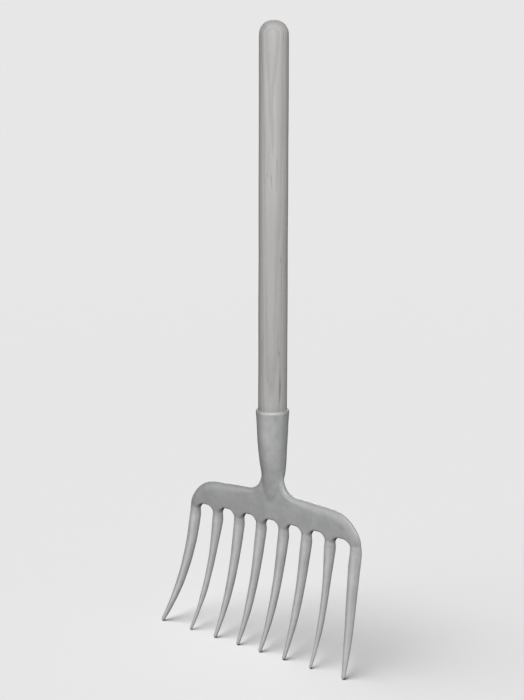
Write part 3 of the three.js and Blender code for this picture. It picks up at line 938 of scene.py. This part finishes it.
def steel(name, value, metal, rough, shift, painted_shading=(), brushed=False):
    """Forged steel: a thin grey scale over hammer-marked metal, pitted, with edges worn bright and
    painted shade in its creases. The shading list holds (axis, from, to, change of value) rows of
    painted light and shade, which make the grey lighter or darker from one place to another; the
    axis "flank" is the way a surface faces, from -1 (left) to 1 (right), and "socket flank" the
    same above the crosshead only."""
    m = Net(name)
    cloud = m.noise((30, 30, 34), detail=4.0, rough=0.55, shift=shift)
    patch = m.noise((9, 9, 11), detail=5.0, rough=0.6, distort=0.4, shift=shift + 3)
    grain = m.noise((1.5, 1.5, 1.7), detail=6.0, rough=0.7, shift=shift + 5)
    dish = m.cells((8.5, 8.5, 10.0), offset=(shift, shift, shift), smooth=0.55)
    pit_distance = m.cells((3.1, 3.1, 3.1), offset=(shift * 2, 0.0, shift))
    pit_where = m.fade(m.noise((11, 11, 14), shift=shift + 8), (0.50, 0.64))
    pit = m.fade(m.add(pit_distance, m.sway(grain, 0.75)), (0.05, 0.24), (1.0, 0.0))
    pit = m.mul(pit, pit_where)
    scratches = m.fade(m.noise((0.55, 0.55, 26), rough=0.6, shift=shift + 13), (0.60, 0.70))
    geometry = m.node("NewGeometry").outputs
    pointed = geometry["Pointiness"]
    edge = m.mul(m.fade(pointed, (0.512, 0.56)), m.fade(patch, (0.30, 0.58), (0.35, 1.0)))
    # painted shade: darker in creases and hollows, where pointiness is low
    crease_shade = m.fade(pointed, (0.44, 0.492), (1.0, 0.0))

    grey = m.add(1.0, m.sway(cloud, 0.34), m.sway(patch, 0.32), m.sway(grain, 0.26))
    grey = m.mul(grey, m.sub(1.0, m.add(m.mul(pit, 0.22), m.mul(crease_shade, 0.12))))
    grey = m.add(grey, m.mul(edge, 0.15), m.mul(scratches, 0.05))
    # painted light and shade: each row of the shading list makes the grey lighter or darker over
    # its range
    painted_light_factor = 1.0
    if painted_shading:
        axes = dict(zip("xyz", m.split(m.place)))
        axes["flank"] = m.split(geometry["Normal"])[0]
    for along, start, end, change in painted_shading:
        if along == "socket flank":
            # pushed out of range low down
            where = m.add(axes["flank"], m.fade(axes["z"], (30.0, 60.0), (2.0, 0.0)))
        else:
            where = axes[along]
        where = m.add(where, m.sway(patch, 0.12 * abs(end - start)))
        painted_light_factor = m.add(painted_light_factor, m.mul(m.fade(where, (start, end)), change))
    grey = m.mul(grey, painted_light_factor)
    roughness = m.add(rough, m.sway(patch, 0.22), m.sway(grain, 0.20), m.mul(pit, 0.14),
                      m.mul(edge, -0.08), m.mul(crease_shade, 0.1))
    bump = m.add(m.mul(dish, 0.55), m.mul(patch, 0.30), m.mul(grain, 0.20), m.mul(pit, -0.55),
                 m.mul(scratches, -0.05))
    if brushed:
        bump = m.add(bump, m.mul(m.noise((0.3, 8.0, 0.3), rough=0.6), 0.3))
    m.surface(m.mul(grey, value), tint=(0.994, 1.0, 1.006), rough=roughness,
              metal=m.add(metal, m.mul(edge, 0.10), m.mul(pit, -0.15)),
              bump=bump, bump_mm=0.32, bump_strength=0.40, specular=0.5)
    return m.material


wood = ash()
# painted light and shade: socket lighter higher up and where it stands forward of the plate, lower
# plate, left side and the socket's left-facing flank darker, fingers lighter down to the tines
forged = steel("steel_forged", STEEL, metal=0.25, rough=0.58, shift=4.0, painted_shading=[
    ("z", 25.0, 75.0, 0.03), ("y", -11.2, -12.6, 0.12), ("z", 12.0, -16.0, -0.04),
    ("x", 0.0, -14.0, -0.085), ("socket flank", 0.28, -0.30, -0.20), ("z", -20.0, -31.0, 0.24)])
# painted light and shade: tines lighter at the roots, darker further down, and darker on their
# right-facing flanks
drawn = steel("steel_drawn", STEEL, metal=0.25, rough=0.56, shift=9.0, painted_shading=[
    ("z", -26.0, -31.0, 0.28), ("z", -32.0, -60.0, -0.11), ("z", -60.0, -110.0, -0.06),
    ("flank", 0.05, 0.50, -0.17)])
nailed = steel("steel_nail", STEEL * 0.9, metal=0.6, rough=0.45, shift=15.0, brushed=True)


def fit(piece, material, node):
    piece.data.materials.clear()
    piece.data.materials.append(material)
    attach(piece, "root")
    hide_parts(node)


fit(handle, wood, "handle")
fit(head, forged, "socket_crosshead")
for i, piece in enumerate(tines, 1):
    fit(piece, drawn, f"tine_{i}")
fit(nail, nailed, "socket_nail")

# ---- floor and backdrop, in metres --------------------------------------------------------

BACKDROP = 0.80      # grey of the world, and of the floor far off
FLOOR_GREY = 0.80
FLOOR_FADE = (0.6, 5.0)  # distance over which the floor turns into the backdrop


def grey_shader(tree, kind, grey):
    n = tree.nodes.new("ShaderNode" + kind)
    n.inputs["Color"].default_value = (grey, grey, grey, 1)
    return n


def pale_for_camera(tree, seen, dim, mirrored, out):
    """Keeps a pale ground from washing out the fork's shading: one shader for the camera, one for
    what polished metal mirrors, and a dim one for the light it throws back."""
    path = tree.nodes.new("ShaderNodeLightPath")
    shader = dim.outputs[0]
    for ray, special in (("Is Glossy Ray", mirrored), ("Is Camera Ray", seen)):
        mix = tree.nodes.new("ShaderNodeMixShader")
        tree.links.new(path.outputs[ray], mix.inputs[0])
        tree.links.new(shader, mix.inputs[1])
        tree.links.new(special.outputs[0], mix.inputs[2])
        shader = mix.outputs[0]
    tree.links.new(shader, out.inputs["Surface"])


def floor_material():
    material = bpy.data.materials.new("floor_pale")
    tree = empty_tree(material)
    out = tree.nodes.new("ShaderNodeOutputMaterial")
    coord = tree.nodes.new("ShaderNodeTexCoord")
    length = tree.nodes.new("ShaderNodeVectorMath")
    length.operation = "LENGTH"
    tree.links.new(coord.outputs["Object"], length.inputs[0])
    far = tree.nodes.new("ShaderNodeMapRange")
    far.interpolation_type = "SMOOTHERSTEP"
    far.inputs["From Min"].default_value, far.inputs["From Max"].default_value = FLOOR_FADE
    tree.links.new(length.outputs["Value"], far.inputs["Value"])
    fade = tree.nodes.new("ShaderNodeMixShader")
    tree.links.new(far.outputs["Result"], fade.inputs[0])
    tree.links.new(grey_shader(tree, "BsdfDiffuse", FLOOR_GREY).outputs[0], fade.inputs[1])
    tree.links.new(grey_shader(tree, "Emission", BACKDROP).outputs[0], fade.inputs[2])
    pale_for_camera(tree, seen=fade, dim=grey_shader(tree, "BsdfDiffuse", 0.03),
                    mirrored=grey_shader(tree, "Emission", 0.04), out=out)
    return material


def make_floor():
    """A disc of rings that widen outward."""
    segments = 96
    bm = bmesh.new()
    rows = [[bm.verts.new((r * math.cos(a), r * math.sin(a), FLOOR_Z * MM))
             for a in circle_angles(segments)] for r in (0.5, 1.0, 2.0, 4.0, 8.0, 16.0, 36.0)]
    centre = bm.verts.new((0, 0, FLOOR_Z * MM))
    for j in range(segments):
        k = (j + 1) % segments
        bm.faces.new((centre, rows[0][j], rows[0][k]))
        for a, b in zip(rows[:-1], rows[1:]):
            bm.faces.new((a[j], b[j], b[k], a[k]))
    mesh = bpy.data.meshes.new("floor")
    bm.to_mesh(mesh)
    bm.free()
    ob = bpy.data.objects.new("floor", mesh)
    bpy.context.scene.collection.objects.link(ob)
    mesh.materials.append(floor_material())
    return ob


def make_world():
    world = bpy.data.worlds.new("studio")
    bpy.context.scene.world = world
    tree = empty_tree(world)
    out = tree.nodes.new("ShaderNodeOutputWorld")
    seen = grey_shader(tree, "Background", BACKDROP)
    dim = grey_shader(tree, "Background", 1)
    dim.inputs["Strength"].default_value = 0.02
    mirrored = grey_shader(tree, "Background", 1)
    mirrored.inputs["Strength"].default_value = 0.06
    pale_for_camera(tree, seen, dim, mirrored, out)


floor = make_floor()
make_world()

# ---- lights, in metres and watts ----------------------------------------------------------

LIGHT_AIM, LIGHT_DISTANCE = (0.0, 0.0, 0.24), 2.6


def lit_group(name, pieces):
    group = bpy.data.collections.new(name)
    for piece in pieces:
        group.objects.link(piece)
    return group


def new_light(data, receivers):
    ob = bpy.data.objects.new(data.name, data)
    bpy.context.scene.collection.objects.link(ob)
    ob.light_linking.receiver_collection = receivers
    return ob


def area_light(name, azimuth, elevation, size, power):
    """A disc that lights the fork only. Azimuth is in degrees from the front towards the right."""
    data = bpy.data.lights.new(name, "AREA")
    data.shape, data.size, data.energy = "DISK", size, power
    ob = new_light(data, fork)
    a, e = math.radians(azimuth), math.radians(elevation)
    back = Vector((math.sin(a) * math.cos(e), -math.cos(a) * math.cos(e), math.sin(e)))
    ob.location = Vector(LIGHT_AIM) + back * LIGHT_DISTANCE
    ob.rotation_mode = "QUATERNION"
    ob.rotation_quaternion = back.to_track_quat("Z", "Y")


ground = lit_group("ground", [floor])
fork = lit_group("fork", [handle, head, nail] + tines)
area_light("key", azimuth=40.0, elevation=35.0, size=1.2, power=47.0)
area_light("front", azimuth=-26.0, elevation=5.0, size=1.0, power=24.0)
area_light("side", azimuth=95.0, elevation=5.0, size=0.9, power=14.0)
area_light("back", azimuth=-143.0, elevation=25.0, size=1.6, power=62.0)
# the ground has an even wash of its own, so that it stays pale all over
wash = bpy.data.lights.new("wash", "SUN")
wash.energy, wash.angle = 3.52, math.radians(60.0)
new_light(wash, ground).rotation_euler = (math.radians(18.0), math.radians(-24.0), 0.0)

# ---- camera -------------------------------------------------------------------------------

AZIMUTH, ELEVATION = 0.647596057, 0.211399992  # radians; azimuth from the front to the right
YAW, ROLL = 0.00774585754, 0.0037693093        # radians; small turns after aiming
CAMERA_AIM = np.array([0.0, -6.1, 231.6181057])
CAMERA_DISTANCE = 1931.05649
LENS, SENSOR = 71.516242285714, 36.0


def turned(a, b, angle):
    """Two square directions, the first turned towards the second."""
    return a * math.cos(angle) + b * math.sin(angle), b * math.cos(angle) - a * math.sin(angle)


def make_camera():
    away = np.array([math.sin(AZIMUTH) * math.cos(ELEVATION),
                     -math.cos(AZIMUTH) * math.cos(ELEVATION), math.sin(ELEVATION)])
    eye = (CAMERA_AIM + CAMERA_DISTANCE * away) * MM
    forward = -away
    right = np.cross(forward, [0, 0, 1.0])
    right /= np.linalg.norm(right)
    up = np.cross(right, forward)
    right, forward = turned(right, forward, YAW)
    right, up = turned(right, up, ROLL)
    data = bpy.data.cameras.new("camera")
    data.sensor_fit = "AUTO"
    data.sensor_width = SENSOR
    data.lens = LENS
    data.clip_start, data.clip_end = 0.05, 60.0
    camera = bpy.data.objects.new("camera", data)
    bpy.context.scene.collection.objects.link(camera)
    placed = np.eye(4)
    placed[:3] = np.column_stack([right, up, -forward, eye])
    camera.matrix_world = Matrix(placed.tolist())
    bpy.context.scene.camera = camera


make_camera()

view = bpy.context.scene.view_settings
view.view_transform, view.look, view.exposure, view.gamma = "Standard", "None", 0.0, 1.0
